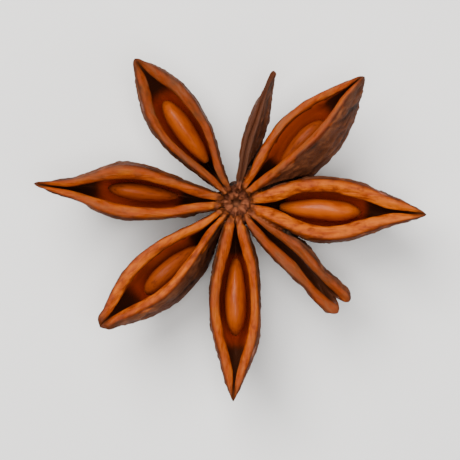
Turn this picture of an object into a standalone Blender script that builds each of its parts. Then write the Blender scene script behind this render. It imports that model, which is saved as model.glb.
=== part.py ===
"""Star anise: one dried fruit, lying on a flat surface with its mouths up.

Eight boat-shaped follicles grow out of a short column as one woody piece, the husk. Six have
split wide open and each holds a loose seed, one is narrow and split to its tip, and one stayed
thin and shut. Sizes are in millimetres, and become metres as each mesh is made.
"""

import math
from dataclasses import dataclass

import bmesh
import bpy
from mathutils import Matrix, Vector, noise

MM = 0.001

# The fruit as it lies
LIP_HEIGHT = 7.6  # from the surface up to the lips, where they run level

# The wall of a follicle, seen in a cut across it
SECTION_POINTS = 26
STATIONS = 20
WALL = 0.55
FLOOR = 1.25  # thickness of the wall along the keel
FLOOR_SHARE = 0.45  # of the depth, where the keel is too shallow for that
KEEL_SHARPNESS = 1.3
LIP_SLOPE = 0.34  # fall of the lip towards the mouth, as a share of its width
LIP_CREST = 0.07
HALF_SLIT = 0.1  # of the mouth where it has closed to a slit
HALF_SLIT_LEAST = 0.07
LIP_LEAST = 0.14
GROOVE_TO_HOLLOW = 0.8  # extra depth over which a V-shaped groove turns into a round hollow

# A tip that is split, so that its two lips stand apart
TIP_LIP = 1.0  # extra width of each lip, as a share of half the split
NOTCH = 1.6  # how far the tip draws back between the lips
NOTCH_START = 0.6  # share of the reach where it begins to
LIP_MIDDLE = 0.62  # share of the half width where each lip reaches furthest

# Its run from the column to the beak
INNER_END = 0.7
INNER_WANDER = 0.4  # how unevenly the inner ends stand round the pit
COLUMN_DIP = 0.95  # how far the lips sink where they meet round the column
DIP_REACH = 3.2
CAVITY_START = 1.7
CAVITY_RISE = 1.3  # length over which the hollow reaches its full depth
CAVITY_END = 0.2  # share of the reach over which it closes at the beak
ROOT = 0.14  # extra width at the column, as a share of the widest
TWIST_SHARE = 0.4  # share of the reach in which a lean comes on

# What keeps each follicle from being regular
WANDER = 0.22
LIP_WAVE = 0.16
BEAM_WAVE = 0.05
WRINKLE = 0.24
WRINKLE_LENGTH = 1.9
WRINKLE_GIRTH = 1.1

# The column in the middle
COLUMN_RADIUS = 2.0
SCAR_RADIUS = 1.75
SCAR_HEIGHT = 1.1  # from the surface up to the scar of the stalk
SCAR_RIM = 0.35
SCAR_SINK = 0.3
PIT_RADIUS = 0.75
PIT_DEPTH = 2.0  # below the lips
COLLAR_HEIGHT = 6.35  # the rim of the pit, between the inner ends of the lips
COLUMN_SIDES = 24

# A seed, which stands on its edge in the cavity
SEED_HEIGHT = 4.3
SEED_TOP = 0.75  # below the lips
SEED_GAP = 0.48  # to the wall on each side, measured level
SEED_PITCH = 5.0  # degrees that its outer end is raised
SEED_SIDES = 16
SEED_RINGS = 11
SEED_CROWN = 0.3  # how much fuller it is under the mouth
SEED_POINT = 0.26  # how much narrower the end towards the column is

HUSK_COLOUR = (0.235, 0.075, 0.026, 1.0)
SEED_COLOUR = (0.42, 0.115, 0.02, 1.0)


@dataclass(frozen=True)
class Follicle:
    """One arm of the star. Angles are in degrees, and left is seen looking out from the column."""

    name: str
    heading: float  # anticlockwise from +X, seen from above
    reach: float  # column axis to beak
    beam: float  # across both lips at the widest
    gape: float  # between the lips at the widest
    depth: float  # lips to keel at the deepest
    lean: float = 0.0  # turn of the mouth to the left
    rise: float = 0.6  # height of the beak over the level stretch
    hook: float = 0.0  # bend of the beak to the left
    bow: float = 0.0  # how far its middle stands out to the left
    fullest: float = 0.5  # share of the reach where it is widest
    beak: float = 0.0  # how much narrower its outer third is than a plain lens
    blunt: float = 0.0  # half the width of a beak that ends round
    mouth_at: float = 0.5  # share of the reach where the mouth is widest
    mouth_span: float = 0.41  # from there to where it closes, as a share of the reach
    belly: float = 0.08  # share by which the body swells below its lips
    beak_depth: float = 0.14  # share of the keel's depth that is left at the beak
    seed_length: float = 0.0
    seed_most: float = 2.2  # its greatest thickness, where the hollow leaves room
    seed_at: float = 0.5  # share of the reach where its middle lies
    hollow: float = 1.0  # share of the full cavity depth
    split_tip: float = 0.0  # how far the two lips stand apart at the tip


# East, northwest and southwest hang lowest, and are worn flat where the fruit rests on them
FOLLICLES = (
    Follicle("east", -3.4, 16.4, 5.6, 2.8, 8.05, lean=3, rise=0.7, hook=0.1,
             beak=0.2, mouth_at=0.48, mouth_span=0.37, seed_length=7.2, seed_at=0.44),
    Follicle("northeast", 45.0, 15.5, 4.1, 2.4, 7.2, lean=30, rise=1.1, bow=0.7, fullest=0.53,
             beak=0.1, mouth_at=0.53, mouth_span=0.43, belly=0.14, seed_length=6.2, seed_most=2.1,
             seed_at=0.48),
    Follicle("north", 82.0, 11.7, 1.0, 0.14, 5.6, lean=10, rise=-0.6, hook=-1.7,
             belly=0.8, hollow=0.05),
    Follicle("northwest", 125.2, 15.1, 4.6, 2.75, 8.05, rise=0.8, fullest=0.6, blunt=0.5,
             mouth_at=0.54, mouth_span=0.42, belly=0.12, seed_length=6.6, seed_at=0.49),
    Follicle("west", 174.5, 17.4, 4.85, 2.3, 7.3, lean=4, rise=0.9, fullest=0.545, beak=0.45,
             mouth_at=0.49, mouth_span=0.4, seed_length=6.2, seed_most=1.8, seed_at=0.455),
    Follicle("southwest", 222.0, 15.7, 4.6, 2.5, 8.3, lean=-17, rise=0.5, bow=-0.2, fullest=0.6,
             blunt=0.85, mouth_at=0.56, mouth_span=0.43, seed_length=6.2, seed_at=0.5),
    Follicle("south", 269.7, 17.0, 4.4, 2.6, 7.2, rise=0.6,
             mouth_at=0.5, mouth_span=0.43, seed_length=6.8, seed_at=0.47),
    Follicle("southeast", 316.0, 13.4, 2.8, 0.5, 6.2, lean=-6, rise=-0.3, blunt=1.35,
             beak_depth=0.3, hollow=0.8, split_tip=0.65),
)


def smooth(value):
    """0 below 0, 1 above 1, and an even curve between."""
    t = min(1.0, max(0.0, value))
    return t * t * (3.0 - 2.0 * t)


def wave(follicle, *place):
    """Smooth noise from -1 to 1 that differs from one follicle to the next."""
    x, y = (*place, 0.0)[:2]
    return noise.noise(Vector((x, y, follicle.heading)))


def station_share(ring):
    """Share of the run from inner end to beak at a ring. The rings crowd towards both ends."""
    even = ring / (STATIONS + 1)
    crowded = 0.5 - 0.5 * math.cos(math.pi * even)
    return 0.5 * (even + crowded)


def half_split(follicle, u):
    """Half the gap that runs on to the tip, where a follicle has one."""
    return 0.5 * follicle.split_tip * smooth((u - 0.3) / 0.4)


def half_beam(follicle, u):
    """Half the width over the lips at share u of the reach."""
    ripe = u ** (math.log(0.5) / math.log(follicle.fullest))
    lens = math.sin(math.pi * ripe) * (1.0 - follicle.beak * smooth((u - 0.55) / 0.27))
    swell = 1.0 + BEAM_WAVE * wave(follicle, 4.0 * u)
    body = 0.5 * follicle.beam * (lens + ROOT * (1.0 - u) ** 5 + 0.03 * u) * swell
    past = max(0.0, (u - 0.94) / 0.06)
    end = follicle.blunt * smooth((u - 0.5) / 0.3) * math.sqrt(max(0.0, 1.0 - past * past))
    lip = LIP_LEAST + TIP_LIP * half_split(follicle, u)
    return max(body, end, half_gape(follicle, u) + lip)


def half_gape(follicle, u):
    """Half the width of the mouth at share u of the reach."""
    away = min(1.0, abs(u - follicle.mouth_at) / follicle.mouth_span)
    mouth = 0.5 * follicle.gape * math.cos(0.5 * math.pi * away) ** 2
    slit = min(HALF_SLIT, 0.5 * follicle.gape) * math.sin(math.pi * u)
    return max(mouth, half_split(follicle, u), slit, HALF_SLIT_LEAST)


def column_dip(follicle, u):
    """How far the lips have sunk at share u of the reach."""
    return COLUMN_DIP * (1.0 - smooth(u * follicle.reach / DIP_REACH))


def keel_depth(follicle, u):
    """Depth of the keel below the lips at share u of the reach."""
    belly = math.sin(math.pi * (0.17 + 0.71 * u)) ** 0.65
    beak = 1.0 - (1.0 - follicle.beak_depth) * u**7
    return follicle.depth * belly * beak - column_dip(follicle, u)


def cavity_depth(follicle, u):
    """Depth of the hollow below the lips. It runs out into a groove at both ends."""
    keel = keel_depth(follicle, u)
    full = follicle.hollow * (keel - min(FLOOR, FLOOR_SHARE * keel))
    start = smooth((u * follicle.reach - CAVITY_START) / CAVITY_RISE)
    end = smooth((1.0 - u) / CAVITY_END)
    groove = 0.3 * half_beam(follicle, u)
    return groove + max(0.0, full - groove) * start * end


def outer_half_width(follicle, u, sink):
    """Half the width of the body at a share of the keel's depth below the lips."""
    curve = max(0.0, 1.0 - sink * sink) ** (0.5 * KEEL_SHARPNESS)
    return half_beam(follicle, u) * curve * (1.0 + 4.0 * follicle.belly * sink * (1.0 - sink))


def inner_half_width(follicle, u, sink):
    """Half the width of the hollow at a share of the keel's depth below the lips."""
    lip = half_beam(follicle, u) - half_gape(follicle, u)
    wall = min(WALL, 0.5 * half_beam(follicle, u))
    thickness = wall + (lip - wall) * (1.0 - smooth(sink / 0.45))
    return max(0.6 * HALF_SLIT_LEAST, outer_half_width(follicle, u, sink) - thickness)


def half_section(follicle, u):
    """(across, up) points from the keel over the lip and down to the floor of the hollow."""
    depth, beam, gape = keel_depth(follicle, u), half_beam(follicle, u), half_gape(follicle, u)
    lip, hollow = beam - gape, cavity_depth(follicle, u)
    drop = min(LIP_SLOPE * lip, 0.6 * hollow)
    points = [(0.0, -depth)]
    for angle in (17, 33, 49, 64, 78):
        sink = math.cos(math.radians(angle))
        points.append((outer_half_width(follicle, u, sink), -depth * sink))
    points.append((beam, -0.12 * lip))
    points.append((gape + 0.72 * lip, LIP_CREST * min(1.0, lip)))
    points.append((gape + 0.2 * lip, -0.5 * drop))
    points.append((gape, -drop))
    opened = smooth((hollow - gape) / GROOVE_TO_HOLLOW)
    for share in (0.4, 0.75, 0.95):
        fall = drop + share * (hollow - drop)
        room = min(inner_half_width(follicle, u, fall / depth), beam - 0.3 * lip)
        room *= 1.0 if share < 0.9 else 0.55
        points.append((opened * room + (1.0 - opened) * gape * (1.0 - share), -fall))
    points.append((0.0, -hollow))
    return points


def section(follicle, u):
    """The whole closed outline across the follicle, as (across, up) points from the keel round."""
    half = half_section(follicle, u)
    return half + [(-across, up) for across, up in reversed(half[1:-1])]


def lip_line(follicle, u):
    """(aside, up) of the middle of the lips: the bend of the beak and the dip at the column."""
    bend = follicle.hook * u * u + follicle.bow * math.sin(math.pi * u)
    aside = bend + WANDER * wave(follicle, 3.0 * u, 5.0) * smooth(u / 0.3)
    sway = LIP_WAVE * wave(follicle, 3.5 * u, 9.0) * smooth(u / 0.3)
    return aside, follicle.rise * u * u + sway - column_dip(follicle, u)


def twist(follicle, u):
    """The turn of the section about the line of the lips."""
    return Matrix.Rotation(math.radians(-follicle.lean) * smooth(u / TWIST_SHARE), 4, "X")


def notch(follicle, u, across):
    """How far a tip draws back between and beside its two lips, where they stand apart."""
    if not follicle.split_tip:
        return 0.0
    away = (abs(across) / half_beam(follicle, u) - LIP_MIDDLE) / LIP_MIDDLE
    return NOTCH * away * away * smooth((u - NOTCH_START) / (1.0 - NOTCH_START))


def on_follicle(follicle, u, across, up):
    """A point of the section at share u, in the follicle's own frame: x out, y left, z up."""
    aside, lift = lip_line(follicle, u)
    turned = twist(follicle, u) @ Vector((0.0, across, up))
    out = u * follicle.reach - notch(follicle, u, across)
    return Vector((out, turned.y + aside, turned.z + lift))


def wrinkled(follicle, u, across, up):
    """The point of the outer wall moved in or out by the dried wrinkles, which fade at the lips."""
    depth = keel_depth(follicle, u)
    fade = smooth(-up / (0.3 * depth)) * smooth((1.0 - u) / 0.15) * smooth(u / 0.15)
    girth = math.atan2(across, 0.5 * depth + up) * depth
    ridge = wave(follicle, u * follicle.reach / WRINKLE_LENGTH, girth / WRINKLE_GIRTH)
    push = 1.0 + WRINKLE * fade * ridge / max(half_beam(follicle, u), 0.8)
    return across * push, up * (1.0 + 0.4 * (push - 1.0))


def placement(follicle):
    """Turns a follicle's own frame to its heading, at the height of the lips."""
    turn = Matrix.Rotation(math.radians(follicle.heading), 4, "Z")
    return Matrix.Translation((0.0, 0.0, LIP_HEIGHT * MM)) @ turn


def new_object(name, mesh, collection):
    """An object for the mesh, linked to the collection."""
    made = bpy.data.objects.new(name, mesh)
    collection.objects.link(made)
    return made


def mesh_from(bm, name):
    """Closes off a bmesh as a mesh whose faces point outwards."""
    bmesh.ops.recalc_face_normals(bm, faces=bm.faces)
    mesh = bpy.data.meshes.new(name)
    bm.to_mesh(mesh)
    bm.free()
    return mesh


def follicle_mesh(follicle):
    """A sphere whose poles are the inner end and the beak, with each ring shaped to its section."""
    bm = bmesh.new()
    rings = STATIONS + 1
    bmesh.ops.create_uvsphere(bm, u_segments=SECTION_POINTS, v_segments=rings, radius=1.0)
    inner = (INNER_END + INNER_WANDER * wave(follicle, 0.5)) / follicle.reach
    for vert in bm.verts:
        ring = round(math.acos(max(-1.0, min(1.0, vert.co.z))) / math.pi * rings)
        turn = math.atan2(vert.co.y, vert.co.x) / math.tau
        index = round(turn * SECTION_POINTS) % SECTION_POINTS
        u = inner + (1.0 - inner) * station_share(ring)
        if ring in (0, rings):
            near = inner + (1.0 - inner) * station_share(1 if ring == 0 else STATIONS)
            middle = 0.5 * (keel_depth(follicle, near) + cavity_depth(follicle, near))
            point = on_follicle(follicle, near, 0.0, -middle)
            if ring == 0 or not follicle.split_tip:
                point.x = u * follicle.reach
        else:
            across, up = section(follicle, u)[index]
            point = on_follicle(follicle, u, *wrinkled(follicle, u, across, up))
        vert.co = point * MM
    mesh = mesh_from(bm, f"follicle_{follicle.name}")
    mesh.transform(placement(follicle))
    return mesh


def column_mesh():
    """The turned core that the follicles grow from, with a pit above and the stalk's scar below."""
    outline = (
        (0.0, LIP_HEIGHT - PIT_DEPTH),
        (PIT_RADIUS, LIP_HEIGHT - 0.8 * PIT_DEPTH),
        (1.3 * PIT_RADIUS, COLLAR_HEIGHT),
        (0.85 * COLUMN_RADIUS, COLLAR_HEIGHT - 0.1),
        (COLUMN_RADIUS, 0.5 * LIP_HEIGHT),
        (SCAR_RADIUS, 0.3 * LIP_HEIGHT),
        (SCAR_RADIUS, SCAR_HEIGHT + 0.2),
        (SCAR_RADIUS - 0.4 * SCAR_RIM, SCAR_HEIGHT),
        (SCAR_RADIUS - SCAR_RIM, SCAR_HEIGHT),
        (SCAR_RADIUS - 1.4 * SCAR_RIM, SCAR_HEIGHT + SCAR_SINK),
        (0.0, SCAR_HEIGHT + SCAR_SINK),
    )
    mesh = bpy.data.meshes.new("column")
    points = [(radius * MM, 0.0, height * MM) for radius, height in outline]
    mesh.from_pydata(points, [(i, i + 1) for i in range(len(points) - 1)], [])
    return mesh


def turn_column(column):
    """Turns the column's outline round Z."""
    screw = column.modifiers.new("turn", "SCREW")
    screw.steps = screw.render_steps = COLUMN_SIDES
    screw.use_merge_vertices = True
    screw.merge_threshold = 0.01 * MM


def joined_to(husk, collection):
    """Adds a Boolean that joins every follicle in the collection to the column."""
    union = husk.modifiers.new("grow together", "BOOLEAN")
    union.operation = "UNION"
    union.operand_type = "COLLECTION"
    union.collection = collection
    union.solver = "EXACT"


def worn_flat(husk, cutter):
    """Adds a Boolean that takes off what would reach below the surface."""
    cut = husk.modifiers.new("worn flat", "BOOLEAN")
    cut.operation = "DIFFERENCE"
    cut.object = cutter
    cut.solver = "EXACT"


def bake(target):
    """Replaces an object's mesh by what its modifiers make of it."""
    graph = bpy.context.evaluated_depsgraph_get()
    baked = bpy.data.meshes.new_from_object(target.evaluated_get(graph))
    target.modifiers.clear()
    target.data = baked


def surface_cutter(collection):
    """A block that fills the space below the surface which the fruit lies on."""
    side, thickness = 60.0 * MM, 10.0 * MM
    bm = bmesh.new()
    bmesh.ops.create_cube(bm, size=1.0)
    bmesh.ops.scale(bm, vec=(side, side, thickness), verts=bm.verts)
    bmesh.ops.translate(bm, vec=(0.0, 0.0, -0.5 * thickness), verts=bm.verts)
    cutter = new_object("surface", mesh_from(bm, "surface"), collection)
    cutter.hide_render = True
    cutter.display_type = "WIRE"
    return cutter


def material(name, colour, roughness):
    """A plain finish in the colour of the part."""
    made = bpy.data.materials.new(name)
    made.use_nodes = True
    shader = made.node_tree.nodes["Principled BSDF"]
    shader.inputs["Base Color"].default_value = colour
    shader.inputs["Roughness"].default_value = roughness
    shader.inputs["Metallic"].default_value = 0.0
    made.diffuse_color = colour
    return made


def make_husk(fruit, finish, parts, helpers):
    """The column and its eight follicles, as the one piece that they grew as."""
    husk = new_object("husk", column_mesh(), parts)
    arms = bpy.data.collections.new("follicles")
    bpy.context.scene.collection.children.link(arms)
    for follicle in FOLLICLES:
        new_object(f"follicle_{follicle.name}", follicle_mesh(follicle), arms)
    turn_column(husk)
    joined_to(husk, arms)
    worn_flat(husk, surface_cutter(helpers))
    bake(husk)
    for arm in list(arms.objects):
        bpy.data.objects.remove(arm)
    bpy.data.collections.remove(arms)
    for old in list(helpers.objects):
        bpy.data.objects.remove(old)
    husk.data.materials.clear()
    husk.data.materials.append(finish)
    husk.data.shade_smooth()
    husk.data.set_sharp_from_angle(angle=math.radians(40))
    husk.parent = fruit
    return husk


def seed_taper(x):
    """Width of a seed at x, -0.5 at the column and 0.5 at the beak, as a share of a plain lens."""
    return 1.0 - SEED_POINT * smooth(0.5 - x)


def seed_mesh(length, thickness, height):
    """A flat oval lens, full along its top and pointed at the end that faces the column."""
    bm = bmesh.new()
    bmesh.ops.create_uvsphere(bm, u_segments=SEED_SIDES, v_segments=SEED_RINGS, radius=0.5)
    bmesh.ops.rotate(bm, cent=(0, 0, 0), matrix=Matrix.Rotation(math.pi / 2, 3, "Y"), verts=bm.verts)
    for vert in bm.verts:
        x, y, z = vert.co
        taper = seed_taper(x)
        crown = 1.0 + SEED_CROWN * max(0.0, z / math.sqrt(max(0.25 - x * x, 0.0001)))
        vert.co = Vector((x * length, y * thickness * taper * crown, z * height * taper)) * MM
    return mesh_from(bm, "seed")


def seed_thickness(follicle, centre):
    """The thickness that leaves a gap to the walls all along a seed at that height."""
    fits = []
    for share in (-0.7, -0.4, 0.0, 0.4, 0.7):
        u = follicle.seed_at + 0.5 * share * follicle.seed_length / follicle.reach
        room = inner_half_width(follicle, u, -centre / keel_depth(follicle, u)) - SEED_GAP
        fits.append(2.0 * room / (math.sqrt(1.0 - share * share) * seed_taper(0.5 * share)))
    return min(follicle.seed_most, *fits)


def seed_place(follicle, centre):
    """Stands a seed on its edge along the line of its hollow, with its outer end raised."""
    step = 0.3 * follicle.seed_length / follicle.reach
    near = on_follicle(follicle, follicle.seed_at - step, 0.0, centre)
    far = on_follicle(follicle, follicle.seed_at + step, 0.0, centre)
    middle = Matrix.Translation(0.5 * (near + far) * MM)
    yaw = Matrix.Rotation(math.atan2(far.y - near.y, far.x - near.x), 4, "Z")
    pitch = Matrix.Rotation(math.radians(-SEED_PITCH), 4, "Y")
    return placement(follicle) @ middle @ yaw @ twist(follicle, follicle.seed_at) @ pitch


def make_seed(follicle, fruit, finish, parts):
    """The loose seed of one follicle, on its edge in the middle of the cavity."""
    centre = -SEED_TOP - 0.5 * SEED_HEIGHT
    thickness = seed_thickness(follicle, centre)
    seed = new_object(
        f"seed_{follicle.name}", seed_mesh(follicle.seed_length, thickness, SEED_HEIGHT), parts
    )
    place = seed_place(follicle, centre)
    seed.location = place.to_translation()
    seed.rotation_euler = place.to_euler()
    seed.data.materials.append(finish)
    seed.data.shade_smooth()
    seed.parent = fruit
    return seed


def centred(fruit, pieces):
    """Moves the fruit so that the origin lies under the middle of its box."""
    bpy.context.view_layer.update()
    corners = [piece.matrix_world @ Vector(corner) for piece in pieces for corner in piece.bound_box]
    middle = [0.5 * (min(c[i] for c in corners) + max(c[i] for c in corners)) for i in range(2)]
    fruit.location = (-middle[0], -middle[1], 0.0)


def main():
    """Clears the scene and builds the fruit."""
    for old in list(bpy.data.objects):
        bpy.data.objects.remove(old)
    parts = bpy.data.collections.new("star_anise")
    helpers = bpy.data.collections.new("cutters")
    for collection in (parts, helpers):
        bpy.context.scene.collection.children.link(collection)
    fruit = new_object("star_anise", None, parts)
    pieces = [make_husk(fruit, material("husk", HUSK_COLOUR, 0.7), parts, helpers)]
    finish = material("seed", SEED_COLOUR, 0.25)
    for follicle in FOLLICLES:
        if follicle.seed_length:
            pieces.append(make_seed(follicle, fruit, finish, parts))
    centred(fruit, pieces)


main()
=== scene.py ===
"""The looks of a dried star anise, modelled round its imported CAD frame.

The husk is one fine piece. Eight boat-shaped follicles are each drawn from a sphere, grow together
with a turned column, and then wrinkle as they dry. The six loose seeds are glossy lenses, one to a
follicle. Sizes are in millimetres, and become metres as each mesh is finished.
"""

import sys
import logging
import math
from collections.abc import Callable, Iterator
from contextlib import contextmanager
from dataclasses import dataclass, field, replace
from enum import Enum
from typing import Any

import bmesh
import bpy
from mathutils import Matrix, Vector, noise
from mathutils.kdtree import KDTree


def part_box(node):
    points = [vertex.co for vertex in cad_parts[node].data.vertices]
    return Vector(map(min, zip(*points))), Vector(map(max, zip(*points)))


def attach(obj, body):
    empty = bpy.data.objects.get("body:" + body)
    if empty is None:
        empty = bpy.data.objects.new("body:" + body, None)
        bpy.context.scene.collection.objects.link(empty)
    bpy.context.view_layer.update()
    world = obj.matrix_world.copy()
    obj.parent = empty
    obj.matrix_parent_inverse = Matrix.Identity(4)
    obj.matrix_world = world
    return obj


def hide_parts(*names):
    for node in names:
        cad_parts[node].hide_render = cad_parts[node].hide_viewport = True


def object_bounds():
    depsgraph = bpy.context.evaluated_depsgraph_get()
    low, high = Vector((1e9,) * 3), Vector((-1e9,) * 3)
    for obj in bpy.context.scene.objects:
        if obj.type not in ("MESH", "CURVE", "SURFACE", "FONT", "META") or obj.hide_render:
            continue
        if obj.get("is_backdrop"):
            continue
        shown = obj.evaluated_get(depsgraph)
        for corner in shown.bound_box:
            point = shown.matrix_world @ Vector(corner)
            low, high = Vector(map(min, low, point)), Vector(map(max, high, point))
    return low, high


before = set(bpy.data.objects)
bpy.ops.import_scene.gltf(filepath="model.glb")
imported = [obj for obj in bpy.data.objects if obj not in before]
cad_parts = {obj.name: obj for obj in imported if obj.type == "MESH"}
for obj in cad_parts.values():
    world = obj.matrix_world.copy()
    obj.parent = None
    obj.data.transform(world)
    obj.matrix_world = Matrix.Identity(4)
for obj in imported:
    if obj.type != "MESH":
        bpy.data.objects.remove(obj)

MM = 0.001
X_AXIS, Y_AXIS, Z_AXIS = "X", "Y", "Z"

log = logging.getLogger("star_anise")


class Side(Enum):
    """The two lips of a follicle, seen looking out from the column."""

    LEFT = 1.0
    RIGHT = -1.0


class Mark(Enum):
    """What each point of the husk knows about its place, for its finish."""

    LIP = "lip"
    RIM = "rim"
    HOLLOW = "hollow"
    # slit: where the finish paints the hollow near-black as shade
    SLIT = "slit"
    TIP = "tip"
    SCAR = "scar"
    # dull: a browner, darker tone, partly painted shade
    DULL = "dull"
    CORE = "core"
    # relief: where it is low, the finish paints shade
    RELIEF = "relief"
    GRAIN = "grain"


DRAWN = (Mark.LIP, Mark.RIM, Mark.HOLLOW, Mark.SLIT)  # those that a follicle is drawn with


def smooth(value: float) -> float:
    """0 below 0, 1 above 1, and an even curve between."""
    t = min(1.0, max(0.0, value))
    return t * t * (3.0 - 2.0 * t)


def activate(piece: bpy.types.Object) -> None:
    """Makes the piece the only selected object, and the active one.

    Args:
        piece: The object.
    """
    bpy.ops.object.select_all(action="DESELECT")
    piece.select_set(True)
    bpy.context.view_layer.objects.active = piece


@contextmanager
def edit_mode(piece: bpy.types.Object) -> Iterator[bmesh.types.BMesh]:
    """Opens a piece in edit mode and hands out its mesh.

    Args:
        piece: The mesh object to edit.

    Yields:
        The mesh under edit, with nothing selected.
    """
    activate(piece)
    bpy.ops.object.mode_set(mode="EDIT")
    bpy.ops.mesh.select_all(action="DESELECT")
    shape = bmesh.from_edit_mesh(piece.data)
    shape.verts.ensure_lookup_table()
    yield shape
    bmesh.update_edit_mesh(piece.data)
    bpy.ops.object.mode_set(mode="OBJECT")


def select_points(shape: bmesh.types.BMesh, wanted: Callable[[Vector], bool]) -> None:
    """Selects the points of a mesh under edit by their place, and nothing else.

    Args:
        shape: The mesh under edit.
        wanted: Says of a place whether its point is selected.
    """
    for vert in shape.verts:
        vert.select_set(wanted(vert.co))
    shape.select_flush(True)
    shape.select_flush(False)


def apply_modifier(piece: bpy.types.Object, kind: str, **settings: Any) -> None:
    """Adds a modifier and applies it.

    Args:
        piece: The object to change.
        kind: The modifier's type.
        **settings: Its properties.
    """
    activate(piece)
    modifier = piece.modifiers.new(kind.lower(), kind)
    for name, value in settings.items():
        setattr(modifier, name, value)
    bpy.ops.object.modifier_apply(modifier=modifier.name)


def subdivide(piece: bpy.types.Object, levels: int) -> None:
    """Smooths a cage by that many levels of subdivision."""
    apply_modifier(piece, "SUBSURF", levels=levels, render_levels=levels)


def write_mark(piece: bpy.types.Object, mark: Mark, values: list[Any]) -> None:
    """Writes a mark on each point of a piece.

    Args:
        piece: The object.
        mark: Which mark.
        values: A number for each point, or a vector for each.
    """
    placed = isinstance(values[0], Vector)
    kind, key = ("FLOAT_VECTOR", "vector") if placed else ("FLOAT", "value")
    layers = piece.data.attributes
    layer = layers.get(mark.value) or layers.new(mark.value, kind, "POINT")
    layer.data.foreach_set(key, [c for value in values for c in value] if placed else values)


def settle(piece: bpy.types.Object, place: Matrix) -> None:
    """Moves a piece's mesh into place in metres, and leaves its object at the origin.

    Args:
        piece: The object, whose mesh is in millimetres in its own frame.
        place: From its own frame to the row's, in millimetres.
    """
    activate(piece)
    bpy.ops.object.transform_apply(location=True, rotation=True, scale=True)
    piece.data.transform(Matrix.Scale(MM, 4) @ place)


def hand_over(piece: bpy.types.Object, slot: str, *nodes: str) -> None:
    """Puts a finished piece in the frame, in place of its CAD nodes.

    Args:
        piece: The finished piece.
        slot: The record's material slot for the piece; not used.
        *nodes: The CAD nodes that it stands for.
    """
    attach(piece, "root")
    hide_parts(*nodes)
    faces = sum(len(polygon.vertices) - 2 for polygon in piece.data.polygons)
    size = ", ".join(f"{side / MM:.1f}" for side in piece.dimensions)
    log.info("%s: %d triangles, %s mm", piece.name, faces, size)


class Value:
    """A number socket of a shader. Arithmetic on it adds Math nodes."""

    def __init__(self, shader: "Shader", socket: bpy.types.NodeSocket) -> None:
        """Wraps an output socket of the shader's node tree."""
        self.shader = shader
        self.socket = socket

    def math(self, operation: str, *others: "Value | float") -> "Value":
        """The result of a Math node fed with this value and the others."""
        node = self.shader.add("ShaderNodeMath", {"operation": operation}, (self, *others))
        return Value(self.shader, node.outputs[0])

    def __add__(self, other: "Value | float") -> "Value":
        """This value plus the other."""
        return self.math("ADD", other)

    def __radd__(self, other: float) -> "Value":
        """The other plus this value."""
        return self.math("ADD", other)

    def __mul__(self, other: "Value | float") -> "Value":
        """This value times the other."""
        return self.math("MULTIPLY", other)

    def __sub__(self, other: "Value | float") -> "Value":
        """This value less the other."""
        return self.math("SUBTRACT", other)

    def __rsub__(self, other: float) -> "Value":
        """The other less this value."""
        return self.math("MULTIPLY", -1.0).math("ADD", other)

    def ramp(self, low: float, high: float, start: float = 0.0, end: float = 1.0) -> "Value":
        """Maps this value with a soft step.

        Args:
            low: Where the step begins.
            high: Where it ends.
            start: What it gives below low.
            end: What it gives above high.

        Returns:
            The mapped value.
        """
        settings = {"interpolation_type": "SMOOTHSTEP", "clamp": True}
        node = self.shader.add("ShaderNodeMapRange", settings, (self, low, high, start, end))
        return Value(self.shader, node.outputs["Result"])


Colour = tuple[float, float, float]
Paint = bpy.types.NodeSocket | Colour


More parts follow.
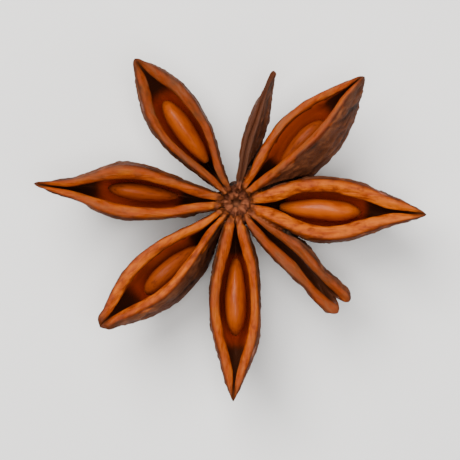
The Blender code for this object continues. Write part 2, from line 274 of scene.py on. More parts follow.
class Shader:
    """A material's node tree round one Principled BSDF."""

    def __init__(self, name: str, **constants: Any) -> None:
        """Starts a material.

        Args:
            name: The material's name.
            **constants: Values that hold all over the surface, by socket name with _ for spaces.
        """
        self.material = bpy.data.materials.new(name)
        self.material.use_nodes = True
        self.tree = self.material.node_tree
        self.surface = self.tree.nodes["Principled BSDF"]
        for socket, value in constants.items():
            self.surface.inputs[socket.replace("_", " ")].default_value = value

    def add(self, kind: str, settings: dict[str, Any] | None = None,
            inputs: tuple | dict | None = None) -> bpy.types.Node:
        """Adds any node.

        Args:
            kind: The node's type.
            settings: Its properties, set first.
            inputs: Values or links for its sockets, in order or by name or number.

        Returns:
            The new node.
        """
        node = self.tree.nodes.new(kind)
        for name, value in (settings or {}).items():
            setattr(node, name, value)
        pairs = inputs.items() if isinstance(inputs, dict) else enumerate(inputs or ())
        for key, value in pairs:
            self.feed(node.inputs[key], value)
        return node

    def feed(self, socket: bpy.types.NodeSocket, value: Any) -> None:
        """Links or sets one input socket.

        Args:
            socket: The socket.
            value: A value or an output to link, or a number or colour to set.
        """
        if isinstance(value, Value):
            value = value.socket
        if isinstance(value, bpy.types.NodeSocket):
            self.tree.links.new(value, socket)
        elif isinstance(value, tuple) and socket.type == "RGBA":
            socket.default_value = (*value, 1.0)
        else:
            socket.default_value = value

    def mark(self, mark: Mark) -> Value:
        """A number that the piece's points carry."""
        node = self.add("ShaderNodeAttribute", {"attribute_name": mark.value})
        return Value(self, node.outputs["Fac"])

    def grain(self, stretch: Colour) -> bpy.types.NodeSocket:
        """The place along, across and above the follicle in millimetres, stretched per axis."""
        node = self.add("ShaderNodeAttribute", {"attribute_name": Mark.GRAIN.value})
        return self.stretched(node.outputs["Vector"], stretch)

    def stretched(self, place: bpy.types.NodeSocket, stretch: Colour) -> bpy.types.NodeSocket:
        """A vector multiplied per axis."""
        node = self.add("ShaderNodeVectorMath", {"operation": "MULTIPLY"}, (place, stretch))
        return node.outputs["Vector"]

    def clouds(self, place: bpy.types.NodeSocket, detail: float = 4.0, roughness: float = 0.55,
               distortion: float = 0.0) -> Value:
        """Soft noise.

        Args:
            place: The pattern's coordinates, one unit to a cloud.
            detail: How many finer octaves it has.
            roughness: How strong the finer ones are.
            distortion: How far they are swirled.

        Returns:
            Its value, from 0 to 1.
        """
        inputs = {"Vector": place, "Scale": 1.0, "Detail": detail, "Roughness": roughness,
                  "Distortion": distortion}
        return Value(self, self.add("ShaderNodeTexNoise", None, inputs).outputs["Fac"])

    def pebbles(self, place: bpy.types.NodeSocket, softness: float = 0.5) -> Value:
        """Rounded cells, 0 in their middles.

        Args:
            place: The pattern's coordinates, one unit to a cell.
            softness: How far the cells melt together.

        Returns:
            The distance from a cell's middle.
        """
        settings = {"feature": "SMOOTH_F1"}
        inputs = {"Vector": place, "Scale": 1.0, "Smoothness": softness}
        return Value(self, self.add("ShaderNodeTexVoronoi", settings, inputs).outputs["Distance"])

    def mixed(self, share: Value | float, first: Paint, second: Paint) -> bpy.types.NodeSocket:
        """The first colour where share is 0, and the second where it is 1."""
        node = self.add("ShaderNodeMix", {"data_type": "RGBA"}, {0: share, 6: first, 7: second})
        return node.outputs[2]

    def paint(self, **inputs: Any) -> None:
        """Feeds the surface's sockets, by name with _ for spaces."""
        for name, value in inputs.items():
            self.feed(self.surface.inputs[name.replace("_", " ")], value)

    def bumps(self, height: Value, depth: float) -> None:
        """Gives the surface relief.

        Args:
            height: From 0 to 1.
            depth: What 1 stands for, in millimetres.
        """
        inputs = {"Height": height, "Distance": depth * MM, "Strength": 1.0}
        node = self.add("ShaderNodeBump", None, inputs)
        self.paint(Normal=node.outputs["Normal"])


@dataclass(frozen=True)
class HuskFinish:
    """Dried woody husk: wrinkled and dark outside, smoother and orange on the lips and inside."""

    # painted shade in the wrinkles' valleys and along the seams, and real dark stains in patches
    dark_stain_and_shade: Colour = (0.016, 0.007, 0.004)
    skin: Colour = (0.085, 0.024, 0.009)
    # painted highlight on the wrinkles' crests
    crest: Colour = (0.200, 0.062, 0.023)
    bloom: Colour = (0.095, 0.052, 0.034)
    # painted shade at both edges of each lip and in its creases, and real dark specks
    lip_specks_and_shade: Colour = (0.060, 0.009, 0.002)
    lip: Colour = (0.250, 0.037, 0.002)
    # painted highlight along the middle of each lip and on its end near the column, broken up by
    # mottle
    lip_mottle_and_highlight: Colour = (0.430, 0.092, 0.004)
    # dull brown of lifeless lips, and partly painted shade on follicles that lie in shade
    lip_dull_and_shade: Colour = (0.046, 0.018, 0.009)
    lip_bloom: Colour = (0.190, 0.058, 0.021)
    # core and pith_shade: painted shade in the low places between the lumps; the pale ones lie on
    # their tops
    core: Colour = (0.105, 0.026, 0.009)
    core_pale: Colour = (0.260, 0.068, 0.018)
    pith: Colour = (0.200, 0.058, 0.024)
    pith_shade: Colour = (0.080, 0.020, 0.008)
    lining: Colour = (0.580, 0.082, 0.004)
    # painted shade in the depths of the hollow
    lining_painted_shade: Colour = (0.420, 0.046, 0.003)
    # painted shade: near-black in the narrow slits and at the hollow's ends past the seed
    slit: Colour = (0.050, 0.015, 0.007)
    beak: Colour = (0.070, 0.017, 0.005)
    scar: Colour = (0.150, 0.058, 0.027)
    gloss: float = 0.08
    roughness_outside: float = 0.72
    roughness_lip: float = 0.46
    roughness_lining: float = 0.34
    relief: float = 0.16

    def outside(self, shader: Shader, fine: Value) -> bpy.types.NodeSocket:
        """The colour of the wrinkled skin: painted shade in its valleys, painted highlight on its
        crests.

        Args:
            shader: The husk's material.
            fine: Its finest noise.

        Returns:
            The colour.
        """
        relief = shader.mark(Mark.RELIEF) + (fine - 0.5) * 0.35
        stain = shader.clouds(shader.grain((0.28, 0.4, 0.4)), 3.0)
        # painted shade where the relief is low, painted highlight where it is high
        low = shader.mixed(relief.ramp(0.18, 0.52), self.dark_stain_and_shade, self.skin)
        high = shader.mixed(relief.ramp(0.5, 0.95), low, self.crest)
        dusty = shader.mixed(stain.ramp(0.45, 0.8, 0.0, 0.5), high, self.bloom)
        # real dark stains in patches, in the same colour as the painted shade
        return shader.mixed(stain.ramp(0.2, 0.42, 0.35, 0.0), dusty, self.dark_stain_and_shade)

    def lips(self, shader: Shader, fibres: Value) -> bpy.types.NodeSocket:
        """The colour of the split faces, streaked along the follicle, with a painted highlight along
        their middle and painted shade at both edges and in the creases.

        Args:
            shader: The husk's material.
            fibres: Noise that runs along the follicle.

        Returns:
            The colour.
        """
        mottle = shader.clouds(shader.grain((0.5, 0.9, 0.9)), 3.0)
        specks = shader.clouds(shader.grain((1.4, 2.6, 2.6)), 4.0, 0.6)
        rim = shader.mark(Mark.RIM) + (fibres - 0.5) * 0.3 + (mottle - 0.5) * 0.3
        # painted shade: the lips darken towards both edges, as a rounded ridge does in shade
        middle = rim.ramp(0.05, 0.36) * rim.ramp(0.62, 0.97, 1.0, 0.0)
        low = shader.mixed(middle, self.lip_specks_and_shade, self.lip)
        dull = shader.mark(Mark.DULL)
        # painted highlight along the lips' middle, broken up by mottle and streaks
        pale = (mottle - 0.5) * 1.6 + (fibres - 0.5) * 1.2 + (specks - 0.5) * 0.7 - dull * 0.5
        high = shader.mixed((pale + 0.32).ramp(0.0, 0.62) * middle, low, self.lip_mottle_and_highlight)
        high = shader.mixed((specks + mottle).ramp(0.7, 0.98, 0.5, 0.0), high, self.lip_specks_and_shade)
        # painted shade: the lips darken where the relief is low, in the wrinkles and along the seams
        relief = shader.mark(Mark.RELIEF)
        worn = shader.mixed(relief.ramp(0.0, 0.32, 0.5, 0.0), high, self.lip_specks_and_shade)
        stain = shader.clouds(shader.grain((0.35, 1.0, 1.0)), 3.0) + (fibres - 0.5) * 0.6
        patches = stain.ramp(0.46, 0.72) * dull.ramp(0.0, 0.6, 0.0, 0.7)
        worn = shader.mixed(patches, worn, self.lip_bloom)
        # dull brown tone, partly painted shade
        dull = dull + (mottle - 0.5) * 0.9 + (specks - 0.5) * 0.5
        return shader.mixed(dull.ramp(0.3, 1.0, 0.0, 0.9), worn, self.lip_dull_and_shade)

    def heart(self, shader: Shader, fine: Value) -> bpy.types.NodeSocket:
        """The colour where the follicles grew together: dark, paler on the lumps, with painted shade
        between them.

        Args:
            shader: The husk's material.
            fine: Its finest noise.

        Returns:
            The colour.
        """
        lumps = shader.mark(Mark.RELIEF) + (fine - 0.5) * 0.5
        # painted shade where the lumps are low
        ends = shader.mixed(lumps.ramp(0.42, 0.85), self.core, self.core_pale)
        pith = shader.mixed(lumps.ramp(0.1, 0.7), self.pith_shade, self.pith)
        return shader.mixed(shader.mark(Mark.DULL).ramp(0.7, 0.9, 0.0, 0.9), ends, pith)

    def make(self) -> bpy.types.Material:
        """Builds the material.

        Returns:
            The husk's material.
        """
        shader = Shader("husk_dried", Metallic=0.0, Specular_IOR_Level=self.gloss)
        lip, hollow = shader.mark(Mark.LIP), shader.mark(Mark.HOLLOW)
        tip, scar = shader.mark(Mark.TIP), shader.mark(Mark.SCAR)
        fibres = shader.clouds(shader.grain((0.45, 3.2, 3.2)), 5.0, 0.6, 0.4)
        fine = shader.clouds(shader.grain((2.2, 3.4, 3.4)), 6.0, 0.62, 0.3)
        pores = shader.pebbles(shader.grain((2.4, 3.4, 3.4)))
        edge = (lip + (fine - 0.5) * 0.3).ramp(0.42, 0.62)
        inside = hollow.ramp(0.02, 0.10)
        skin = self.outside(shader, fine)
        colour = shader.mixed(edge, skin, self.lips(shader, fibres))
        # painted shade: the lining darkens with depth in the hollow
        depth = (hollow + (fine - 0.5) * 0.12).ramp(0.08, 0.75)
        lining = shader.mixed(depth, self.lining, self.lining_painted_shade)
        # painted shade: the lining turns near-black where the mouth narrows to a slit and past the
        # seed's ends
        slit = shader.mark(Mark.SLIT) + (fine - 0.5) * 0.3
        lining = shader.mixed(slit.ramp(0.1, 0.9), lining, self.slit)
        colour = shader.mixed(inside, colour, lining)
        colour = shader.mixed((tip + (fine - 0.5) * 0.5).ramp(0.35, 0.95, 0.0, 0.8), colour, self.beak)
        # painted highlight on the lips' ends near the column
        near = shader.mark(Mark.CORE) + (fine - 0.5) * 0.4
        ends = near.ramp(0.0, 0.2) * near.ramp(0.25, 0.55, 1.0, 0.0) * lip * (1.0 - inside)
        ends = ends * shader.mark(Mark.DULL).ramp(0.3, 0.9, 1.0, 0.0)
        colour = shader.mixed(ends * fibres.ramp(0.3, 0.7, 0.1, 0.55), colour, self.lip_mottle_and_highlight)
        colour = shader.mixed(near.ramp(0.3, 0.8, 0.0, 0.9), colour, self.heart(shader, fine))
        worn = shader.clouds(shader.grain((0.9, 1.3, 1.3)), 5.0, 0.65)
        pale = shader.mixed(worn.ramp(0.38, 0.62), self.scar, self.skin)
        colour = shader.mixed((scar + (fine - 0.5) * 0.7).ramp(0.4, 0.7), colour, pale)
        shader.paint(Base_Color=colour)
        dull = self.roughness_outside + (fine - 0.5) * 0.2
        satin = self.roughness_lip - dull + (fibres - 0.5) * 0.25
        rough = dull + edge * satin
        rough = rough + inside * (self.roughness_lining - rough)
        shader.paint(Roughness=rough)
        outer_relief = (fine * 0.6 + (1.0 - pores) * 0.5) * (1.0 - edge)
        lip_relief = (fibres * 0.7 + fine * 0.3) * edge
        calm = (1.0 - inside * 0.75) * (1.0 - scar * 0.6)
        shader.bumps((outer_relief + lip_relief) * calm, self.relief)
        return shader.material


@dataclass(frozen=True)
class SeedFinish:
    """A hard seed coat, glossy and orange brown, paler and dull at the scar on its end."""

    # shade and light: a shaded and a lit copy of the coat colour, laid by noise as painted shade and
    # painted highlight
    shade: Colour = (0.240, 0.034, 0.002)
    coat: Colour = (0.370, 0.066, 0.003)
    light: Colour = (0.460, 0.098, 0.006)
    # dull seeds, partly painted shade on seeds that lie in shade
    dull: Colour = (0.135, 0.020, 0.002)
    shade_dull: Colour = (0.050, 0.008, 0.002)
    scar: Colour = (0.360, 0.170, 0.080)
    roughness: float = 0.46
    relief: float = 0.03

    def make(self) -> bpy.types.Material:
        """Builds the material.

        Returns:
            The seeds' material.
        """
        shader = Shader("seed_coat", Metallic=0.0, Specular_IOR_Level=0.08, Coat_Roughness=0.13)
        cloud = shader.clouds(shader.grain((0.45, 0.9, 0.7)), 3.0)
        streak = shader.clouds(shader.grain((0.8, 5.0, 4.0)), 4.0)
        scar = shader.mark(Mark.SCAR).ramp(0.3, 0.7)
        dull = shader.mark(Mark.DULL)
        # painted shade and painted highlight, in patches and streaks
        colour = shader.mixed(cloud.ramp(0.25, 0.6), self.shade, self.coat)
        colour = shader.mixed(streak.ramp(0.45, 0.85, 0.0, 0.6), colour, self.light)
        # duller, darker seeds, partly painted shade
        colour = shader.mixed(dull, colour, self.dull)
        colour = shader.mixed(streak.ramp(0.3, 0.5, 0.7, 0.0) * dull, colour, self.shade_dull)
        colour = shader.mixed(scar, colour, self.scar)
        shader.paint(Base_Color=colour)
        rough = self.roughness + (streak - 0.5) * 0.12 + scar * 0.4 + dull * 0.15
        shader.paint(Roughness=rough)
        shader.paint(Coat_Weight=(0.13 - dull * 0.13) * (1.0 - scar))
        shader.bumps(streak * 0.5 + cloud * 0.5, self.relief)
        return shader.material


@dataclass(frozen=True)
class FloorFinish:
    """Matt pale paper under the fruit."""

    colour: Colour = (0.90, 0.895, 0.89)
    shade: Colour = (0.87, 0.865, 0.86)

    def make(self) -> bpy.types.Material:
        """Builds the material.

        Returns:
            The floor's material.
        """
        shader = Shader("floor_paper", Roughness=0.9)
        place = shader.add("ShaderNodeTexCoord").outputs["Object"]
        cloud = shader.clouds(shader.stretched(place, (40.0, 40.0, 40.0)), 2.0)
        colour = shader.mixed(cloud, self.colour, self.shade)
        shader.paint(Base_Color=colour)
        return shader.material


@dataclass(frozen=True)
class SectionPoint:
    """A point of the outline across a follicle, with its shares of lip, rim, hollow and slit."""

    across: float
    up: float
    lip: float = 0.0
    rim: float = 0.0
    hollow: float = 0.0
    slit: float = 0.0


@dataclass(frozen=True)
class Growth:
    """What every follicle has in common. Lengths are in millimetres."""

    lip_height: float = 7.6  # from the floor up to the lips, where they run level
    wall: float = 0.55
    floor: float = 1.25  # thickness of the wall along the keel
    floor_share: float = 0.45  # of the depth, where the keel is too shallow for that
    root: float = 0.14
    keel_sharpness: float = 1.3
    lip_slope: float = 0.34
    lip_crest: float = 0.09
    half_slit: float = 0.10  # of the mouth where it has closed to a slit
    half_slit_least: float = 0.07
    lip_least: float = 0.14
    tip_lip: float = 1.0
    notch: float = 1.6
    notch_start: float = 0.6
    lip_middle: float = 0.62  # share of the half width where a lip of a split tip reaches furthest
    groove_to_hollow: float = 0.8
    inner_end: float = 0.7
    inner_wander: float = 0.4
    dip: float = 0.95  # how far the lips sink where they meet round the column
    dip_reach: float = 3.2
    cavity_start: float = 1.7
    cavity_rise: float = 1.3
    cavity_end: float = 0.2  # share of the reach over which the hollow closes at the beak
    twist_share: float = 0.4
    wander: float = 0.22
    lip_wave: float = 0.16
    beam_wave: float = 0.05
    edge_wave: float = 0.10  # how unevenly the inner edges of the lips run
    section_points: int = 30
    stations: int = 22
    outer_angles: tuple[float, ...] = (18.0, 35.0, 51.0, 66.0, 79.0)
    inner_shares: tuple[float, ...] = (0.22, 0.48, 0.75, 0.94)


GROWTH = Growth()


@dataclass(frozen=True)
class Follicle:
    """One boat-shaped arm of the star. Angles are in degrees, and left is seen from the column."""

    name: str
    heading: float  # anticlockwise from +X, seen from above
    reach: float  # column axis to beak
    beam: float  # across both lips at the widest
    gape: float  # between the lips at the widest
    depth: float  # lips to keel at the deepest
    lean: float = 0.0  # turn of the mouth to the left
    rise: float = 0.6  # height of the beak over the level stretch
    hook: float = 0.0  # bend of the beak to the left
    bow: float = 0.0  # how far its middle stands out to the left
    fullest: float = 0.5  # share of the reach where it is widest
    beak: float = 0.0  # how much narrower its outer third is than a plain lens
    blunt: float = 0.0  # half the width of a beak that ends round
    mouth_at: float = 0.5  # share of the reach where the mouth is widest
    mouth_span: float = 0.41  # from there to where it closes, as a share of the reach
    belly: float = 0.08  # how far the sides swell below the lips
    beak_depth: float = 0.14  # share of the keel's depth that is left at the beak
    seed_length: float = 0.0
    seed_at: float = 0.5  # share of the reach where its middle lies
    hollow: float = 1.0  # share of the full cavity depth
    split_tip: float = 0.0  # how far the two lips stand apart at the tip
    # The dull share is partly real tone and partly painted shade: it also darkens the lips of
    # follicles that lie in shade.
    dull: float = 0.1  # how brown and lifeless its lips are
    # The seed's dull share is partly painted shade: seeds that lie in shade are darkened with it.
    seed_dull_and_shade: float = 0.1

    def wave(self, x: float, y: float = 0.0) -> float:
        """Smooth noise from -1 to 1 that differs from one follicle to the next."""
        return noise.noise(Vector((x, y, self.heading)))

    def half_split(self, u: float) -> float:
        """Half the gap that runs on to the tip, where a follicle has one."""
        return 0.5 * self.split_tip * smooth((u - 0.3) / 0.4)

    def half_gape(self, u: float) -> float:
        """Half the width of the mouth.

        Args:
            u: Share of the reach.

        Returns:
            The length, in millimetres.
        """
        away = min(1.0, abs(u - self.mouth_at) / self.mouth_span)
        mouth = 0.5 * self.gape * math.cos(0.5 * math.pi * away) ** 2
        slit = min(GROWTH.half_slit, 0.5 * self.gape) * math.sin(math.pi * u)
        return max(mouth, self.half_split(u), slit, GROWTH.half_slit_least)

    def half_beam(self, u: float) -> float:
        """Half the width over the lips.

        Args:
            u: Share of the reach.

        Returns:
            The length, in millimetres.
        """
        ripe = u ** (math.log(0.5) / math.log(self.fullest))
        lens = math.sin(math.pi * ripe) * (1.0 - self.beak * smooth((u - 0.55) / 0.27))
        root = GROWTH.root * (1.0 - u) ** 5
        swell = 1.0 + GROWTH.beam_wave * self.wave(4.0 * u)
        body = 0.5 * self.beam * (lens + root + 0.03 * u) * swell
        past = max(0.0, (u - 0.94) / 0.06)
        end = self.blunt * smooth((u - 0.5) / 0.3) * math.sqrt(max(0.0, 1.0 - past * past))
        lip = GROWTH.lip_least + GROWTH.tip_lip * self.half_split(u)
        return max(body, end, self.half_gape(u) + lip)

    def column_dip(self, u: float) -> float:
        """How far the lips have sunk at share u of the reach."""
        return GROWTH.dip * (1.0 - smooth(u * self.reach / GROWTH.dip_reach))

    def keel_depth(self, u: float) -> float:
        """Depth of the keel below the lips.

        Args:
            u: Share of the reach.

        Returns:
            The length, in millimetres.
        """
        belly = math.sin(math.pi * (0.17 + 0.71 * u)) ** 0.65
        beak = 1.0 - (1.0 - self.beak_depth) * u**7
        return self.depth * belly * beak - self.column_dip(u)

    def hollow_depth(self, u: float) -> float:
        """Depth of the hollow below the lips. It runs out into a groove at both ends.

        Args:
            u: Share of the reach.

        Returns:
            The length, in millimetres.
        """
        keel = self.keel_depth(u)
        full = self.hollow * (keel - min(GROWTH.floor, GROWTH.floor_share * keel))
        start = smooth((u * self.reach - GROWTH.cavity_start) / GROWTH.cavity_rise)
        end = smooth((1.0 - u) / GROWTH.cavity_end)
        groove = 0.3 * self.half_beam(u)
        return groove + max(0.0, full - groove) * start * end

    def outer_half_width(self, u: float, sink: float) -> float:
        """Half the width of the body at a share of the keel's depth below the lips."""
        curve = max(0.0, 1.0 - sink * sink) ** (0.5 * GROWTH.keel_sharpness)
        return self.half_beam(u) * curve * (1.0 + 4.0 * self.belly * sink * (1.0 - sink))

    def inner_half_width(self, u: float, sink: float) -> float:
        """Half the width of the hollow at some depth.

        Args:
            u: Share of the reach.
            sink: Share of the keel's depth.

        Returns:
            The length, in millimetres.
        """
        lip = self.half_beam(u) - self.half_gape(u)
        wall = min(GROWTH.wall, 0.5 * self.half_beam(u))
        thickness = wall + (lip - wall) * (1.0 - smooth(sink / 0.45))
        return max(0.6 * GROWTH.half_slit_least, self.outer_half_width(u, sink) - thickness)

    def half_section(self, u: float, side: Side) -> list[SectionPoint]:
        """The outline across one side of the follicle.

        Args:
            u: Share of the reach.
            side: Which lip.

        Returns:
            Points from the keel over the lip and down to the floor of the hollow, both included.
        """
        depth, beam = self.keel_depth(u), self.half_beam(u)
        gape = self.half_gape(u)
        open_share = smooth((gape - 0.2) / 0.5)
        gape += GROWTH.edge_wave * open_share * self.wave(8.0 * u, 20.0 * side.value)
        lip, hollow = beam - gape, self.hollow_depth(u)
        drop = min(GROWTH.lip_slope * lip, 0.6 * hollow)
        points = [SectionPoint(0.0, -depth)]
        for angle in GROWTH.outer_angles:
            sink = math.cos(math.radians(angle))
            points.append(SectionPoint(self.outer_half_width(u, sink), -depth * sink))
        crest = GROWTH.lip_crest * min(1.0, lip)
        points.append(SectionPoint(beam, -0.14 * lip, 0.45, 1.0))
        points.append(SectionPoint(gape + 0.78 * lip, crest, 1.0, 0.8))
        points.append(SectionPoint(gape + 0.42 * lip, 0.4 * crest - 0.16 * drop, 1.0, 0.5))
        points.append(SectionPoint(gape + 0.12 * lip, -0.6 * drop, 1.0, 0.3))
        points.append(SectionPoint(gape, -drop, 1.0, 0.2))
        opened = smooth((hollow - gape) / GROWTH.groove_to_hollow)
        # The slit mark: where the mouth narrows or runs past the seed, which the finish paints
        # near-black as shade.
        past_seed = abs(u - self.seed_at) - 0.5 * self.seed_length / self.reach
        slit = max(1.0 - smooth((gape - 0.35) / 0.45), smooth(past_seed / 0.13 + 0.2))
        for share in GROWTH.inner_shares:
            fall = drop + share * (hollow - drop)
            room = min(self.inner_half_width(u, fall / depth), beam - 0.3 * lip)
            room *= 0.55 if share > 0.9 else 1.0
            across = opened * room + (1.0 - opened) * gape * (1.0 - share)
            # the hollow mark grows with depth, and the finish paints shade with it
            tone = 0.15 + 0.85 * share * opened
            edge = 0.6 if share < 0.3 else 0.0
            points.append(SectionPoint(across, -fall, edge, 0.0, tone, slit))
        points.append(SectionPoint(0.0, -hollow, 0.0, 0.0, 0.15 + 0.85 * opened, slit))
        return points

    def section(self, u: float) -> list[SectionPoint]:
        """The whole closed outline across the follicle, from the keel round.

        Args:
            u: Share of the reach.

        Returns:
            Its points.
        """
        left, right = self.half_section(u, Side.LEFT), self.half_section(u, Side.RIGHT)
        mirrored = [replace(point, across=-point.across) for point in reversed(right[1:-1])]
        return left + mirrored

    def lip_line(self, u: float) -> tuple[float, float]:
        """Where the middle of the lips runs.

        Args:
            u: Share of the reach.

        Returns:
            How far aside and up it lies, in millimetres.
        """
        wander = GROWTH.wander * self.wave(3.0 * u, 5.0) * smooth(u / 0.3)
        sway = GROWTH.lip_wave * self.wave(3.5 * u, 9.0) * smooth(u / 0.3)
        aside = self.hook * u * u + self.bow * math.sin(math.pi * u) + wander
        return aside, self.rise * u * u + sway - self.column_dip(u)

    def twist(self, u: float) -> Matrix:
        """The turn of the section about the line of the lips."""
        turn = math.radians(-self.lean) * smooth(u / GROWTH.twist_share)
        return Matrix.Rotation(turn, 4, X_AXIS)

    def place(self, u: float, across: float, up: float) -> Vector:
        """A point of the section in the follicle's own frame.

        Args:
            u: Share of the reach.
            across: To the left of the lips' middle.
            up: Above it.

        Returns:
            The place, with x out from the column, y to the left and z up.
        """
        aside, lift = self.lip_line(u)
        turned = self.twist(u) @ Vector((0.0, across, up))
        return Vector((u * self.reach - self.notch(u, across), turned.y + aside, turned.z + lift))

    def notch(self, u: float, across: float) -> float:
        """How far the tip draws back between and beside its two lips, where they stand apart.

        Args:
            u: Share of the reach.
            across: To the left of the lips' middle.

        Returns:
            The length, in millimetres.
        """
        if not self.split_tip:
            return 0.0
        away = (abs(across) / self.half_beam(u) - GROWTH.lip_middle) / GROWTH.lip_middle
        late = smooth((u - GROWTH.notch_start) / (1.0 - GROWTH.notch_start))
        return GROWTH.notch * away * away * late

    def heading_turn(self) -> Matrix:
        """Turns the follicle's own frame to its heading."""
        return Matrix.Rotation(math.radians(self.heading), 4, Z_AXIS)

    def placement(self) -> Matrix:
        """From the follicle's own frame to one on the column's axis, with the floor at 0."""
        return Matrix.Translation((0.0, 0.0, GROWTH.lip_height)) @ self.heading_turn()

    def station(self, ring: int) -> float:
        """Share of the reach at a ring. The rings crowd towards both ends.

        Args:
            ring: Its number, counted from the inner end.

        Returns:
            The share.
        """
        even = ring / (GROWTH.stations + 1)
        crowded = 0.5 - 0.5 * math.cos(math.pi * even)
        inner = (GROWTH.inner_end + GROWTH.inner_wander * self.wave(0.5)) / self.reach
        return inner + (1.0 - inner) * 0.5 * (even + crowded)

    def end_point(self, ring: int) -> Vector:
        """The pole that closes the inner end, or the one at the beak.

        Args:
            ring: Its number: 0 or the last.

        Returns:
            Its place, in the follicle's own frame.
        """
        near = self.station(1 if ring == 0 else GROWTH.stations)
        share = 0.5 if ring == 0 else 0.4
        middle = share * (self.keel_depth(near) + self.hollow_depth(near))
        point = self.place(near, 0.0, -middle)
        if ring == 0 or not self.split_tip:
            point.x = self.station(ring) * self.reach
        return point

    def build(self) -> bpy.types.Object:
        """Draws a sphere out into the boat: its poles are the two ends, its rings the sections.

        Returns:
            The smooth follicle in its own frame, in millimetres, with its marks.
        """
        rings, points = GROWTH.stations + 1, GROWTH.section_points
        bpy.ops.object.select_all(action="DESELECT")
        bpy.ops.mesh.primitive_uv_sphere_add(segments=points, ring_count=rings, radius=1.0)
        pod = bpy.context.object
        pod.name = f"follicle_{self.name}"
        spots = []
        with edit_mode(pod) as shape:
            for vert in shape.verts:
                ring = round(math.acos(max(-1.0, min(1.0, vert.co.z))) / math.pi * rings)
                index = round(math.atan2(vert.co.y, vert.co.x) / math.tau * points) % points
                if ring in (0, rings):
                    vert.co, spot = self.end_point(ring), SectionPoint(0.0, 0.0)
                else:
                    spot = self.section(self.station(ring))[index]
                    vert.co = self.place(self.station(ring), spot.across, spot.up)
                spots.append(spot)
            if shape.calc_volume(signed=True) < 0.0:  # drawn inside out
                bpy.ops.mesh.select_all(action="SELECT")
                bpy.ops.mesh.flip_normals()
        for mark in DRAWN:
            write_mark(pod, mark, [getattr(spot, mark.value) for spot in spots])
        subdivide(pod, 2)
        return pod


FOLLICLES = (
    Follicle("east", -3.4, 16.4, 5.6, 2.8, 8.05, lean=3, rise=0.7, hook=0.1,
             beak=0.2, mouth_at=0.48, mouth_span=0.37, seed_length=7.2, seed_at=0.44,
             dull=0.0, seed_dull_and_shade=0.0),
    Follicle("northeast", 45.0, 15.5, 4.1, 2.4, 7.2, lean=30, rise=1.1, bow=0.7, fullest=0.53,
             beak=0.1, mouth_at=0.53, mouth_span=0.43, belly=0.14, seed_length=6.2, seed_at=0.48,
             dull=0.45, seed_dull_and_shade=0.8),
    Follicle("north", 82.0, 11.7, 1.0, 0.14, 5.6, lean=10, rise=-0.6, hook=-1.7,
             belly=0.8, hollow=0.05, dull=1.0),
    Follicle("northwest", 125.2, 15.1, 4.6, 2.75, 8.05, rise=0.8, fullest=0.6, blunt=0.5,
             mouth_at=0.54, mouth_span=0.42, belly=0.12, seed_length=6.6, seed_at=0.49,
             dull=0.62, seed_dull_and_shade=0.4),
    Follicle("west", 174.5, 17.4, 4.85, 2.3, 7.3, lean=4, rise=0.9, fullest=0.545, beak=0.45,
             mouth_at=0.49, mouth_span=0.4, seed_length=6.2, seed_at=0.455,
             dull=0.4, seed_dull_and_shade=0.75),
    Follicle("southwest", 222.0, 15.7, 4.6, 2.5, 8.3, lean=-17, rise=0.5, bow=-0.2, fullest=0.6,
             blunt=0.85, mouth_at=0.56, mouth_span=0.43, seed_length=6.2, seed_at=0.5,
             dull=0.15, seed_dull_and_shade=0.75),
    Follicle("south", 269.7, 17.0, 4.4, 2.6, 7.2, rise=0.6,
             mouth_at=0.5, mouth_span=0.43, seed_length=6.8, seed_at=0.47,
             dull=0.35, seed_dull_and_shade=0.3),
    Follicle("southeast", 316.0, 13.4, 2.8, 0.5, 6.2, lean=-6, rise=-0.3, blunt=1.35,
             beak_depth=0.3, hollow=0.8, split_tip=0.65, dull=0.6),
)


